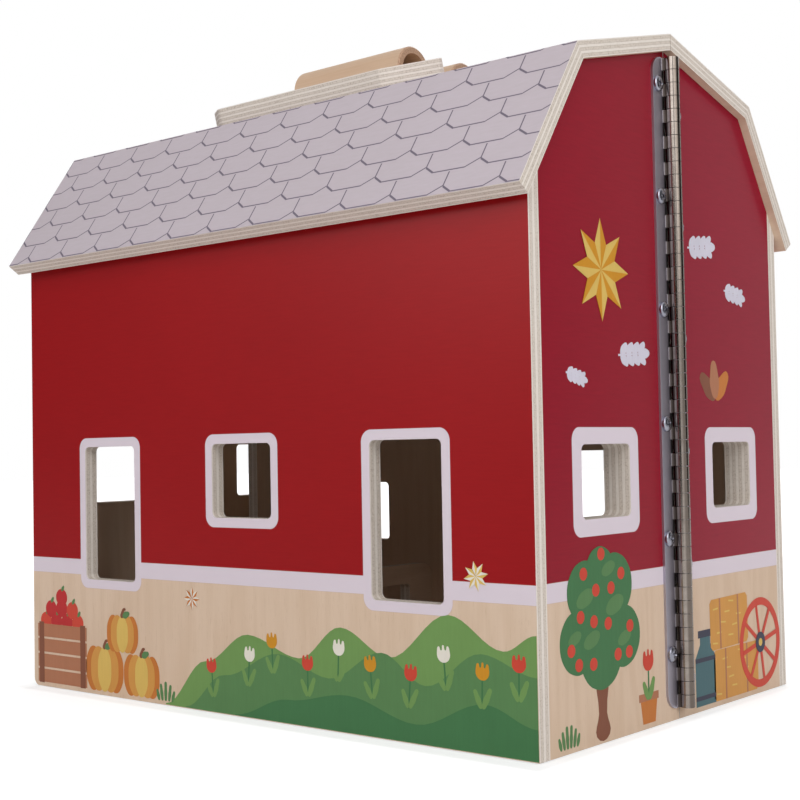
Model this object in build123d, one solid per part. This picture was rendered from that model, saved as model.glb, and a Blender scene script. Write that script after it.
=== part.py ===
from build123d import *
import math
import os

# A wooden toy barn that opens like a book. Two plywood halves meet at a seam under the
# ridge and turn about a piano hinge on one gable. Millimetres, +Z up. X runs along the
# ridge, the seam is the plane Y = 0, the near half is at -Y and the far half at +Y.
# The origin is on the table, at the middle of the closed barn.

NEAR, FAR = -1, 1
LATCH_END, HINGE_END = -1, 1

# ---- Boards ----
barn_length = 360.0        # over the gable faces
half_depth = 121.0         # seam plane to the outer face of a long wall
seam_gap = 0.6             # between the two halves when shut
wall_board = 8.0           # long walls
gable_board = 14.5         # gables, thick enough to take the hinge screws
roof_board = 8.0
floor_board = 8.0
wall_foot_radius = 4.5     # rounded lower corners of the long walls, latch end

# ---- Gambrel roof, measured on its upper surface ----
eave_height = 247.3
eave_overhang = 12.4       # past the long wall
gable_overhang = 4.4       # past the gable
lower_roof_run = 48.0      # horizontal run of the steep board
lower_pitch = 55.64        # degrees
upper_pitch = 14.19        # degrees

# ---- Openings ----
opening_radius = 3.0
door_window_width = 43.4   # the two tall openings of the near wall
door_window_height = 75.0
door_window_sill = 64.3
door_window_reach = 108.0  # from the middle of the wall to the centre of each
small_window_width = 43.4
small_window_height = 38.3
small_window_sill = 101.0
small_window_shift = -1.5  # the middle window sits a little towards the latch end
hinge_window_width = 41.9
hinge_window_height = 34.0
hinge_window_sill = 101.5
hinge_window_reach = 62.1  # seam to the centre of each window
latch_window_width = 56.5
latch_window_height = 34.4
latch_window_sill = 105.7
latch_window_reach = 58.8

# ---- Stable doorway and side light of the far wall ----
doorway_width = 86.0
doorway_height = 124.0     # from the floor board up
doorway_centre = 61.0
side_light_width = 24.0
side_light_height = 39.1
side_light_sill = 73.4
side_light_centre = -114.5

# ---- Half-height stable doors ----
leaf_height = 75.0
leaf_gap = 0.6             # to the jambs, the sill and between the leaves
leaf_edge_chamfer = 1.0

# ---- Butt hinge of each stable door ----
door_barrel_radius = 2.1
door_pin_radius = 1.1
door_root_gap = 1.6         # plate edge back from the barrel of the other half
door_hinge_sheet = 1.0
door_barrel_lift = 0.3     # barrel clear of the boards
door_knuckle_count = 3
door_knuckle_pitch = 15.0
door_knuckle_gap = 0.3
door_hinge_reach = 11.0    # axis to the free edge of a plate

# ---- Turned door knobs ----
knob_radius = 4.6
knob_height = 8.5
knob_neck_radius = 2.4
knob_neck_height = 2.6
knob_rim_chamfer = 1.4
knob_edge_distance = 7.5   # from the meeting edge of the leaf
knob_drop = 22.0           # below the top of the leaf

# ---- Inside the far half ----
divider_board = 8.0
divider_setback = 16.0     # open edge of the tall divider back from the seam
narrow_stall_width = 26.5  # between the latch gable and the tall divider
stall_width = 57.0         # between the tall divider and the rail
tall_divider_height = 150.0
loft_board = 8.0
loft_overhang = 8.0        # past the stall rail
rail_divider_height = 59.2
rail_divider_setback = 5.0
rail_height = 12.2
rail_sill_height = 12.0
stile_width = 23.0
rail_corner_radius = 9.0

# ---- Piano hinge ----
hinge_axis_offset = 4.8    # axis out from the gable face, past the roof overhang
hinge_bottom = 6.0
hinge_knuckle_count = 49
hinge_knuckle_pitch = 6.55
hinge_knuckle_gap = 0.3
hinge_sheet = 1.2
hinge_barrel_radius = 3.6
hinge_pin_radius = 2.3
running_gap = 0.06         # round a pin
hinge_leaf_reach = 12.6    # axis to the free edge of a leaf
hinge_leaf_root = 2.2      # axis to the inner edge of a leaf, under the barrel
hinge_leaf_corner = 8.0
joggle_run = 1.8           # length of the bend beside a barrel
bore_flat_count = 6        # the bore of a knuckle is six-sided, its flats just clear of the pin

# ---- Carrying handle: a base board and a half-round grip on each half ----
handle_board = 10.0
handle_base_start = 3.0        # along the slope, ridge line to the base board
handle_base_depth = 75.5
handle_shoulder_depth = 55.0   # start of the board to its two side corners
handle_base_length = 171.0     # over the side corners
handle_front_length = 122.0    # edge towards the eave
handle_back_length = 90.0      # edge towards the ridge
handle_corner_chamfer = 1.5
grip_radius = 13.6
grip_wall = 3.8
grip_length = 80.0
grip_line = 21.1               # along the slope, ridge line to the middle of the grip
grip_shift = -1.8              # along the ridge, from the middle of the base board
grip_edge_chamfer = 0.8

# ---- Swing hook on the latch gable ----
hook_height = 196.0            # pivot above the table
hook_pivot_reach = 18.0        # seam to the pivot
hook_stud_reach = 18.0         # seam to the stud
hook_sheet = 1.6
hook_shank_width = 6.5
hook_eye_radius = 5.5
hook_head_radius = 7.0
hook_tail_length = 9.0
hook_slot_gap = 0.8
hook_pivot_radius = 1.8
hook_side_play = 0.3           # between the hook and the gable, and under the heads
hook_screw_head = 4.2
hook_screw_head_height = 1.6

# ---- Positions that follow from the dimensions above ----
gable_face = barn_length / 2
gable_inside = gable_face - gable_board
wall_inside = half_depth - wall_board
seam_edge = seam_gap / 2
steep, shallow = math.radians(lower_pitch), math.radians(upper_pitch)
eave_reach = half_depth + eave_overhang
knee_reach = eave_reach - lower_roof_run
knee_height = eave_height + lower_roof_run * math.tan(steep)
ridge_height = knee_height + knee_reach * math.tan(shallow)
roof_end = gable_face + gable_overhang
hinge_axis = gable_face + hinge_axis_offset
hinge_top = hinge_bottom + hinge_knuckle_count * hinge_knuckle_pitch
tall_divider_face = narrow_stall_width + divider_board - gable_inside
rail_divider_face = tall_divider_face + stall_width + divider_board
loft_end = rail_divider_face + loft_overhang
leaf_bottom = floor_board + leaf_gap
leaf_top = leaf_bottom + leaf_height
leaf_width = doorway_width / 2 - 1.5 * leaf_gap
door_axis_y = half_depth + door_barrel_lift + door_barrel_radius
door_barrel_length = door_knuckle_count * door_knuckle_pitch
door_hinge_bottom = (leaf_bottom + leaf_top - door_barrel_length) / 2
hook_plate_face = gable_face + hook_side_play


def steep_underside(y):
    """Height of the steep board's lower face at a distance y from the seam plane."""
    return knee_height - (y - knee_reach) * math.tan(steep) - roof_board / math.cos(steep)


def shallow_underside(y):
    """Height of the shallow board's lower face at a distance y from the seam plane."""
    return ridge_height - y * math.tan(shallow) - roof_board / math.cos(shallow)


def inner_knee():
    """Distance and height of the corner where the two undersides meet."""
    rise = steep_underside(0) - shallow_underside(0)
    reach = rise / (math.tan(steep) - math.tan(shallow))
    return reach, shallow_underside(reach)


def board_across(outline, side, x_low, x_high):
    """A board whose outline lies in the YZ plane, run along X between two stations."""
    points = [(side * y, z) for y, z in outline][::side]
    return extrude(Plane.YZ.offset(x_low) * Polygon(*points, align=None), amount=x_high - x_low)


def block(x_low, x_high, y_low, y_high, z_low, z_high):
    """A square-cut board between two opposite corners."""
    corner = Pos(x_low, min(y_low, y_high), z_low)
    return corner * Box(x_high - x_low, abs(y_high - y_low), z_high - z_low,
                        align=(Align.MIN, Align.MIN, Align.MIN))


def wall_opening(side, centre, sill, width, height):
    """The cutter of a rounded opening through a long wall."""
    middle = Plane((centre, side * (half_depth - wall_board / 2), sill + height / 2),
                   x_dir=(1, 0, 0), z_dir=(0, 1, 0))
    return extrude(middle * RectangleRounded(width, height, opening_radius),
                   amount=wall_board, both=True)


def gable_opening(end, side, reach, sill, width, height):
    """The cutter of a rounded opening through a gable."""
    middle = Plane((end * (gable_face - gable_board / 2), side * reach, sill + height / 2),
                   x_dir=(0, 1, 0), z_dir=(1, 0, 0))
    return extrude(middle * RectangleRounded(width, height, opening_radius),
                   amount=gable_board, both=True)


def turned(place, profile):
    """A turned piece; its profile is radius and height, and place has Z along its axis."""
    outline = Polyline(*profile, close=True)
    return place * revolve(Plane.XZ * make_face(outline), Axis.Z)


def knuckle_section(side, sheet, barrel_radius, pin_radius, axis_lift, bend_start):
    """One knuckle in section: the rolled eye and the strip that joggles down to the leaf.

    The hinge axis is the origin, the leaf runs along X on the given side and the board
    lies axis_lift below the axis. The strip bends bend_start away from it. The quarter of the eye that faces the board, away from
    the leaf, is two flats; the rest is round.
    """
    root = bend_start + joggle_run
    flat = barrel_radius * math.tan(math.pi / 8)
    strip = [(0, 0), (-side * barrel_radius, 0), (-side * barrel_radius, -flat),
             (-side * flat, -barrel_radius), (side * bend_start, -barrel_radius),
             (side * root, -axis_lift), (side * (root + sheet), -axis_lift),
             (side * (root + sheet), sheet - axis_lift), (side * root, sheet - axis_lift),
             (side * bend_start, sheet - barrel_radius), (0, sheet - barrel_radius)]
    bore = RegularPolygon(pin_radius + running_gap, bore_flat_count, major_radius=False)
    return Circle(barrel_radius) + Polygon(*strip[::side], align=None) - bore


# ---- Shell boards ----

def long_wall(side):
    """A long wall without openings, bevelled under the roof."""
    outline = [(wall_inside, 0), (half_depth, 0), (half_depth, steep_underside(half_depth)),
               (wall_inside, steep_underside(wall_inside))]
    wall = board_across(outline, side, -gable_face, gable_face)
    foot = wall.edges().filter_by(Axis.Y).group_by(Axis.Z)[0].sort_by(Axis.X)[0]
    return fillet(foot, radius=wall_foot_radius)


def near_long_wall():
    """The near wall with its middle window between two tall openings."""
    wall = long_wall(NEAR) - wall_opening(NEAR, small_window_shift, small_window_sill,
                                          small_window_width, small_window_height)
    for centre in (-door_window_reach, door_window_reach):
        wall -= wall_opening(NEAR, centre, door_window_sill,
                             door_window_width, door_window_height)
    return wall


def far_long_wall():
    """The far wall with its side light and its stable doorway, square at the threshold."""
    wall = long_wall(FAR) - wall_opening(FAR, side_light_centre, side_light_sill,
                                         side_light_width, side_light_height)
    wall -= wall_opening(FAR, doorway_centre, floor_board, doorway_width, doorway_height)
    return wall - block(doorway_centre - doorway_width / 2, doorway_centre + doorway_width / 2,
                        wall_inside, half_depth, floor_board, floor_board + opening_radius)


def plain_gable(end, side):
    """Half of a gable, from its long wall to the seam, under the roof."""
    outline = [(seam_edge, 0), (wall_inside, 0), (wall_inside, steep_underside(wall_inside)),
               inner_knee(), (seam_edge, shallow_underside(seam_edge))]
    x_low, x_high = sorted((end * gable_face, end * gable_inside))
    return board_across(outline, side, x_low, x_high)


def hinge_gable(side):
    """A gable half at the hinge, with its window."""
    return plain_gable(HINGE_END, side) - gable_opening(
        HINGE_END, side, hinge_window_reach, hinge_window_sill,
        hinge_window_width, hinge_window_height)


def latch_gable(side):
    """A gable half at the latch, with its window."""
    return plain_gable(LATCH_END, side) - gable_opening(
        LATCH_END, side, latch_window_reach, latch_window_sill,
        latch_window_width, latch_window_height)


def floor_panel(side):
    """The floor of one half, level with the feet of the walls."""
    return block(-gable_inside, gable_inside, side * seam_edge, side * wall_inside,
                 0, floor_board)


def lower_roof(side):
    """The steep roof board, square at the eave and mitred at the knee."""
    outline = [(eave_reach, eave_height), (knee_reach, knee_height), inner_knee(),
               (eave_reach - roof_board * math.sin(steep),
                eave_height - roof_board * math.cos(steep))]
    return board_across(outline, side, -roof_end, roof_end)


def upper_roof(side):
    """The shallow roof board, mitred at the knee and plumb at the seam."""
    outline = [(knee_reach, knee_height),
               (seam_edge, ridge_height - seam_edge * math.tan(shallow)),
               (seam_edge, shallow_underside(seam_edge)), inner_knee()]
    return board_across(outline, side, -roof_end, roof_end)


# ---- Carrying handle ----

def slope_plane(side):
    """The upper roof surface: origin on the ridge line, Y down the slope, Z out of it."""
    return Plane((0, 0, ridge_height), x_dir=(side, 0, 0),
                 z_dir=(0, side * math.sin(shallow), math.cos(shallow)))


def handle_base(side):
    """The base board, cut back from its side corners to the front and to the ridge."""
    back = handle_base_start
    shoulder, front = back + handle_shoulder_depth, back + handle_base_depth
    half_back, half_front = handle_back_length / 2, handle_front_length / 2
    half_length = handle_base_length / 2
    outline = Polygon((-half_back, back), (half_back, back), (half_length, shoulder),
                      (half_front, front), (-half_front, front), (-half_length, shoulder),
                      align=None)
    board = extrude(outline, amount=handle_board)
    return slope_plane(side) * chamfer(board.edges().filter_by(Axis.Z), handle_corner_chamfer)


def handle_grip(side):
    """The bent-wood grip, a half-round shell standing on the base board."""
    shell = Circle(grip_radius) - Circle(grip_radius - grip_wall)
    shell -= Pos(0, -grip_radius) * Rectangle(2 * grip_radius, 2 * grip_radius)
    grip = extrude(Plane.YZ * shell, amount=grip_length / 2, both=True)
    rims = grip.edges().filter_by(GeomType.CIRCLE).group_by(SortBy.RADIUS)[-1]
    seat = slope_plane(side) * Pos(side * grip_shift, grip_line, handle_board)
    return seat * chamfer(rims, grip_edge_chamfer)


# ---- Piano hinge ----

def hinge_leaf(side):
    """One leaf of the piano hinge with every second knuckle of the barrel."""
    height = hinge_top - hinge_bottom
    width = hinge_leaf_reach - hinge_leaf_root
    middle = Plane((gable_face, side * (hinge_leaf_root + width / 2), hinge_bottom + height / 2),
                   x_dir=(0, 1, 0), z_dir=(1, 0, 0))
    leaf = extrude(middle * Rectangle(width, height), amount=hinge_sheet)
    outer_corners = leaf.edges().filter_by(Axis.X).sort_by(Axis.Y, reverse=side == FAR)[:2]
    leaf = fillet(outer_corners, radius=hinge_leaf_corner)
    section = knuckle_section(side, hinge_sheet, hinge_barrel_radius, hinge_pin_radius,
                              hinge_axis_offset, hinge_leaf_root)
    axis = Plane((hinge_axis, 0, hinge_bottom + hinge_knuckle_gap / 2),
                 x_dir=(0, 1, 0), z_dir=(0, 0, -1))
    knuckle = extrude(axis * section, amount=hinge_knuckle_pitch - hinge_knuckle_gap,
                      dir=(0, 0, 1))
    first = 0 if side == NEAR else 1
    return leaf.fuse(*[Pos(0, 0, i * hinge_knuckle_pitch) * knuckle
                       for i in range(first, hinge_knuckle_count, 2)])


def hinge_pin():
    """The pin through the whole barrel."""
    pin = Cylinder(hinge_pin_radius, hinge_top - hinge_bottom,
                   align=(Align.CENTER, Align.CENTER, Align.MIN))
    return Pos(hinge_axis, 0, hinge_bottom) * pin


# ---- Stable doors; hand is the end of the barn that a door hangs towards ----

def door_axis_x(hand):
    """Station of a door's hinge axis, over the gap beside its jamb."""
    return doorway_centre + hand * (doorway_width / 2 - leaf_gap / 2)


def door_leaf(hand):
    """One half-height leaf, set flush in the doorway."""
    jamb = doorway_centre + hand * (doorway_width / 2 - leaf_gap)
    x_low, x_high = sorted((jamb, jamb - hand * leaf_width))
    leaf = block(x_low, x_high, wall_inside, half_depth, leaf_bottom, leaf_top)
    return chamfer(leaf.edges().filter_by(Axis.Y), leaf_edge_chamfer)


def door_hinge_half(hand, direction, knuckles):
    """The wall plate or the door strap of one hinge; direction is the way it runs from the axis."""
    root = door_barrel_radius + door_root_gap
    face = half_depth - door_axis_y
    section = knuckle_section(direction, door_hinge_sheet, door_barrel_radius,
                              door_pin_radius, -face, root - joggle_run)
    knuckle = extrude(section, amount=door_knuckle_pitch - door_knuckle_gap, dir=(0, 0, 1))
    x_low, x_high = sorted((direction * root, direction * door_hinge_reach))
    plate = block(x_low, x_high, face, face + door_hinge_sheet,
                  0, door_barrel_length - door_knuckle_gap)
    half = plate.fuse(*[Pos(0, 0, i * door_knuckle_pitch) * knuckle for i in knuckles])
    return Pos(door_axis_x(hand), door_axis_y, door_hinge_bottom + door_knuckle_gap / 2) * half


def door_hinge_plates():
    """The plates on the wall, one beside each jamb, with the outer knuckles."""
    return [door_hinge_half(hand, hand, range(0, door_knuckle_count, 2))
            for hand in (LATCH_END, HINGE_END)]


def door_strap(hand):
    """The strap on a door leaf, with the knuckles between those of its plate."""
    return door_hinge_half(hand, -hand, range(1, door_knuckle_count, 2))


def door_pins():
    """The two pins, held by the plates."""
    pin = Cylinder(door_pin_radius, door_barrel_length,
                   align=(Align.CENTER, Align.CENTER, Align.MIN))
    return [Pos(door_axis_x(hand), door_axis_y, door_hinge_bottom) * pin
            for hand in (LATCH_END, HINGE_END)]


def door_knob(hand):
    """A turned knob near the meeting edge of a leaf."""
    x = doorway_centre + hand * (leaf_gap / 2 + knob_edge_distance)
    place = Plane((x, half_depth, leaf_top - knob_drop), x_dir=(1, 0, 0), z_dir=(0, 1, 0))
    rim = knob_height - knob_rim_chamfer
    return turned(place, [(0, 0), (knob_neck_radius, 0), (knob_neck_radius, knob_neck_height),
                          (knob_radius, knob_neck_height), (knob_radius, rim),
                          (knob_radius - knob_rim_chamfer, knob_height), (0, knob_height)])


# ---- Stalls and loft of the far half ----

def tall_divider():
    """The full-height stall wall that carries the loft."""
    return block(tall_divider_face - divider_board, tall_divider_face,
                 divider_setback, wall_inside, floor_board, tall_divider_height)


def hay_loft():
    """The loft board over the stalls."""
    loft = block(-gable_inside, loft_end, divider_setback, wall_inside,
                 tall_divider_height, tall_divider_height + loft_board)
    corner = loft.edges().filter_by(Axis.Z).sort_by(Axis.Y)[:2].sort_by(Axis.X)[-1]
    return fillet(corner, radius=rail_corner_radius)


def rail_divider():
    """The low stall rail: two stiles and two rails cut from one board."""
    depth = wall_inside - rail_divider_setback
    height = rail_divider_height - floor_board
    middle = Plane((rail_divider_face - divider_board, rail_divider_setback + depth / 2,
                    floor_board + height / 2), x_dir=(0, 1, 0), z_dir=(1, 0, 0))
    board = extrude(middle * Rectangle(depth, height), amount=divider_board)
    top = board.edges().filter_by(Axis.X).group_by(Axis.Z)[-1]
    board = fillet(top, radius=rail_corner_radius)
    gap_height = height - rail_height - rail_sill_height
    gap = Pos(0, (rail_sill_height - rail_height) / 2) * RectangleRounded(
        depth - 2 * stile_width, gap_height, opening_radius)
    return board - extrude(middle * gap, amount=divider_board)


# ---- Swing hook ----

def latch_screw(side):
    """A shouldered stud with a flat head: the pivot on the near half, the catch on the far."""
    reach = hook_pivot_reach if side == NEAR else hook_stud_reach
    place = Plane((-gable_face, side * reach, hook_height), x_dir=(0, 1, 0), z_dir=(-1, 0, 0))
    shoulder = hook_sheet + 2 * hook_side_play
    return turned(place, [(0, 0), (hook_pivot_radius, 0), (hook_pivot_radius, shoulder),
                          (hook_screw_head, shoulder),
                          (hook_screw_head, shoulder + hook_screw_head_height),
                          (0, shoulder + hook_screw_head_height)])


def latch_hook():
    """The swing hook, hanging from its pivot with its slot open away from the seam."""
    reach = hook_pivot_reach + hook_stud_reach
    slot_radius = hook_pivot_radius + hook_slot_gap
    plane = Plane((-hook_plate_face, -hook_pivot_reach, hook_height),
                  x_dir=(0, 1, 0), z_dir=(1, 0, 0))
    tail = hook_head_radius + hook_tail_length
    outline = Circle(hook_eye_radius)
    outline += Pos(0, -(reach + tail) / 2) * Rectangle(hook_shank_width, reach + tail)
    outline += Pos(0, -reach) * Circle(hook_head_radius)
    outline += Pos(0, -reach - tail) * Circle(hook_shank_width / 2)
    outline -= Circle(hook_pivot_radius + running_gap)
    outline -= Pos(0, -reach) * Circle(slot_radius)
    outline -= Pos(-hook_head_radius, -reach) * Rectangle(2 * hook_head_radius, 2 * slot_radius)
    return extrude(plane * outline, amount=hook_sheet, dir=(-1, 0, 0))


# ---- Every piece, one file per node ----

parts = {
    "near_long_wall": near_long_wall(),
    "far_long_wall": far_long_wall(),
    "hinge_pin": hinge_pin(),
    "latch_hook": latch_hook(),
    "latch_pivot": latch_screw(NEAR),
    "latch_stud": latch_screw(FAR),
    "stall_divider": tall_divider(),
    "stall_rail": rail_divider(),
    "hay_loft": hay_loft(),
    "door_hinge_plates": Compound(children=door_hinge_plates()),
    "door_hinge_pins": Compound(children=door_pins()),
}
for name, side in (("near", NEAR), ("far", FAR)):
    parts[name + "_hinge_gable"] = hinge_gable(side)
    parts[name + "_latch_gable"] = latch_gable(side)
    parts[name + "_floor"] = floor_panel(side)
    parts[name + "_lower_roof"] = lower_roof(side)
    parts[name + "_upper_roof"] = upper_roof(side)
    parts[name + "_handle_base"] = handle_base(side)
    parts[name + "_handle_grip"] = handle_grip(side)
    parts[name + "_hinge_leaf"] = hinge_leaf(side)
for name, hand in (("left", LATCH_END), ("right", HINGE_END)):
    parts[name + "_door_leaf"] = door_leaf(hand)
    parts[name + "_door_strap"] = door_strap(hand)
    parts[name + "_door_knob"] = door_knob(hand)

os.makedirs("parts", exist_ok=True)
for node, shape in parts.items():
    export_step(shape, f"parts/{node}.step")
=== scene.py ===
import logging
import math
from collections.abc import Callable
from dataclasses import dataclass, replace
from enum import Enum

import bpy
from mathutils import Matrix, Vector


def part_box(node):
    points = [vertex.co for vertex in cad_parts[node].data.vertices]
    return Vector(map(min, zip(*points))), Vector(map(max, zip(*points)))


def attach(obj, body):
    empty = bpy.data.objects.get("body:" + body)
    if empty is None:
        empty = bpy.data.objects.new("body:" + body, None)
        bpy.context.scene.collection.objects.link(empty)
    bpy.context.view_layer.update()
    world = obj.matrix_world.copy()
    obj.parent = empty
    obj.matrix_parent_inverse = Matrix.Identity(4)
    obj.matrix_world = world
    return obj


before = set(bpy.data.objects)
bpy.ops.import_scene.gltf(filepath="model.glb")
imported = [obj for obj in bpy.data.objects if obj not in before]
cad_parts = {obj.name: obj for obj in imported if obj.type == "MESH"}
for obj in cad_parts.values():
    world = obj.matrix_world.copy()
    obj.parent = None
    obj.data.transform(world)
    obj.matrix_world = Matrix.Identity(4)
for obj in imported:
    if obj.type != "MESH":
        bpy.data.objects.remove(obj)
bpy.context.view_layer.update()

log = logging.getLogger("barn")
MM = 0.001
Point = tuple[float, float]
Axis = tuple[float, float, float]
Outline = tuple[Point, ...]
Colour = tuple[float, float, float, float]
Number = "Value | float"


def tone(red: float, green: float, blue: float) -> Colour:
    """A colour on the 0 to 255 display scale, as a linear RGBA tuple.

    Args:
        red, green, blue: the display values.

    Returns:
        The linear colour with full alpha.
    """
    def linear(value: float) -> float:
        """One channel, from the display scale to linear light."""
        share = value / 255
        return share / 12.92 if share <= 0.04045 else ((share + 0.055) / 1.055) ** 2.4

    return linear(red), linear(green), linear(blue), 1.0


# ---- Shader expressions ----


def pairing(operation: str, meaning: str) -> Callable[["Value", Number], "Value"]:
    """A method that joins a value and another in one Math node.

    Args:
        operation: the Math node's operation.
        meaning: the method's docstring.

    Returns:
        The method.
    """
    def paired(self: "Value", other: Number) -> "Value":
        """Replaced by the meaning."""
        return self.maths(operation, other)

    paired.__doc__ = meaning
    return paired


class Value:
    """A shader socket. Used in an expression of numbers, it adds Math nodes."""

    def __init__(self, shader: "Shader", socket: bpy.types.NodeSocket) -> None:
        """Keeps the shader that the socket belongs to."""
        self.shader = shader
        self.socket = socket

    def maths(self, operation: str, *others: Number) -> "Value":
        """One Math node on this value.

        Args:
            operation: the Math node's operation.
            others: its second and third inputs.

        Returns:
            The node's result.
        """
        inputs = dict(enumerate((self, *others)))
        return self.shader.node("ShaderNodeMath", {"operation": operation}, inputs)

    __add__ = __radd__ = pairing("ADD", "The sum.")
    __mul__ = __rmul__ = pairing("MULTIPLY", "The product.")
    __sub__ = pairing("SUBTRACT", "The difference.")
    __truediv__ = pairing("DIVIDE", "The quotient.")
    __mod__ = pairing("FLOORED_MODULO", "The remainder, never negative.")
    __gt__ = pairing("GREATER_THAN", "1 where this is the greater, else 0.")
    __lt__ = pairing("LESS_THAN", "1 where this is the smaller, else 0.")
    larger = pairing("MAXIMUM", "The larger of the two.")
    smaller = pairing("MINIMUM", "The smaller of the two.")

    def __rsub__(self, other: float) -> "Value":
        """The difference from a number."""
        return self * -1 + other

    def __abs__(self) -> "Value":
        """The size without its sign."""
        return self.maths("ABSOLUTE")

    def held(self) -> "Value":
        """The value kept between 0 and 1."""
        return self.larger(0.0).smaller(1.0)


class Shader:
    """A material's node tree, its coordinates and its Principled shader."""

    def __init__(self, name: str) -> None:
        """Makes the material and keeps what most finishes read.

        Args:
            name: of the material.
        """
        self.material = bpy.data.materials.new(name)
        self.material.use_nodes = True
        self.tree = self.material.node_tree
        self.surface = self.tree.nodes["Principled BSDF"]
        coordinates = self.tree.nodes.new("ShaderNodeTexCoord")
        self.place = Value(self, coordinates.outputs["Object"])
        self.normal = Value(self, coordinates.outputs["Normal"])

    def feed(self, made: bpy.types.Node, inputs: dict) -> None:
        """Gives a node its inputs.

        Args:
            made: the node.
            inputs: values or links by socket name or number.
        """
        for key, given in inputs.items():
            if isinstance(given, Value):
                self.tree.links.new(given.socket, made.inputs[key])
            else:
                made.inputs[key].default_value = given

    def node(self, kind: str, settings: dict, inputs: dict, output: int = 0) -> Value:
        """Adds any node.

        Args:
            kind: the node's type.
            settings: its properties, set first; a ramp's stops go under "stops".
            inputs: values or links by socket name or number.
            output: the number of the output to return.

        Returns:
            That output.
        """
        made = self.tree.nodes.new(kind)
        for key, setting in settings.items():
            if key == "stops":
                self._set_stops(made.color_ramp, setting)
            else:
                setattr(made, key, setting)
        self.feed(made, inputs)
        return Value(self, made.outputs[output])

    @staticmethod
    def _set_stops(ramp: bpy.types.ColorRamp, stops: list) -> None:
        """Gives a ramp its stops.

        Args:
            ramp: the colour ramp, which comes with two stops.
            stops: a position and a colour each, the ramp's own two last.
        """
        for position, colour in stops[:-2]:
            ramp.elements.new(position).color = colour
        for element, (position, colour) in zip((ramp.elements[0], ramp.elements[-1]), stops[-2:]):
            element.position, element.color = position, colour

    def mix(self, share: Number, first: object, second: object, blend: str = "MIX") -> Value:
        """Mixes two colours.

        Args:
            share: how much of the second shows.
            first: a colour or a link.
            second: a colour or a link.
            blend: the Mix node's way of blending.

        Returns:
            The mixed colour.
        """
        return self.node("ShaderNodeMix", {"data_type": "RGBA", "blend_type": blend},
                         {0: share, 6: first, 7: second}, 2)

    def noise(self, stretch: float | Axis, detail: float = 3.0, shift: float = 0.0) -> Value:
        """Noise on the object's own coordinates.

        Args:
            stretch: waves to the metre, the same all ways or along X, Y and Z.
            detail: the number of finer layers.
            shift: moves the pattern, so that two differ.

        Returns:
            A value about one half.
        """
        scale = stretch if isinstance(stretch, tuple) else (stretch, stretch, stretch)
        vector = self.node("ShaderNodeMapping", {}, {"Vector": self.place, "Scale": scale,
                                                     "Location": (shift, shift, shift)})
        return self.node("ShaderNodeTexNoise", {}, {"Vector": vector, "Scale": 1.0,
                                                    "Detail": detail, "Roughness": 0.55})

    def toward(self, direction: Axis, vector: Value) -> Value:
        """The part of a vector that points in a direction."""
        return self.node("ShaderNodeVectorMath", {"operation": "DOT_PRODUCT"},
                         {0: vector, 1: direction}, 1)

    def along(self, direction: Axis) -> Value:
        """The place along a direction, in millimetres from the origin."""
        return self.toward(direction, self.place) * 1000.0

    def finish(self, colour: object, roughness: Number, height: Value | None = None,
               lift: float = 0.02, **constants: float) -> bpy.types.Material:
        """Wires the Principled shader.

        Args:
            colour: the base colour or its link.
            roughness: a number or a link.
            height: what the bump follows.
            lift: the bump's height in millimetres.
            constants: sockets with one value all over, by name with _ for a space.

        Returns:
            The finished material.
        """
        wires = {"Base Color": colour, "Roughness": roughness}
        if height is not None:
            wires["Normal"] = self.node("ShaderNodeBump", {}, {
                "Strength": 1.0, "Distance": lift * MM, "Height": height})
        for key, given in constants.items():
            wires[key.replace("_", " ")] = given
        self.feed(self.surface, wires)
        return self.material


def inside(distance: Value, softness: float = 0.25) -> Value:
    """1 where a signed distance in millimetres is negative, with a soft edge."""
    return (distance * (-1 / softness) + 0.5).held()


def stroke(distance: Value, width: float) -> Value:
    """1 on a drawn line of that width, with soft edges."""
    return inside(abs(distance) - width / 2)


def hypotenuse(u: Value, v: Value) -> Value:
    """The length of a line that goes so far both ways."""
    return (u * u + v * v).maths("SQRT")


# ---- Wood ----


class Grain(Enum):
    """The axis that a veneer's fibres follow."""

    X = 0
    Y = 1
    Z = 2

    def stretch(self, across: float, along: float) -> Axis:
        """Waves to the metre on each axis, few along the fibres."""
        return tuple(along if axis == self.value else across for axis in range(3))


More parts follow.
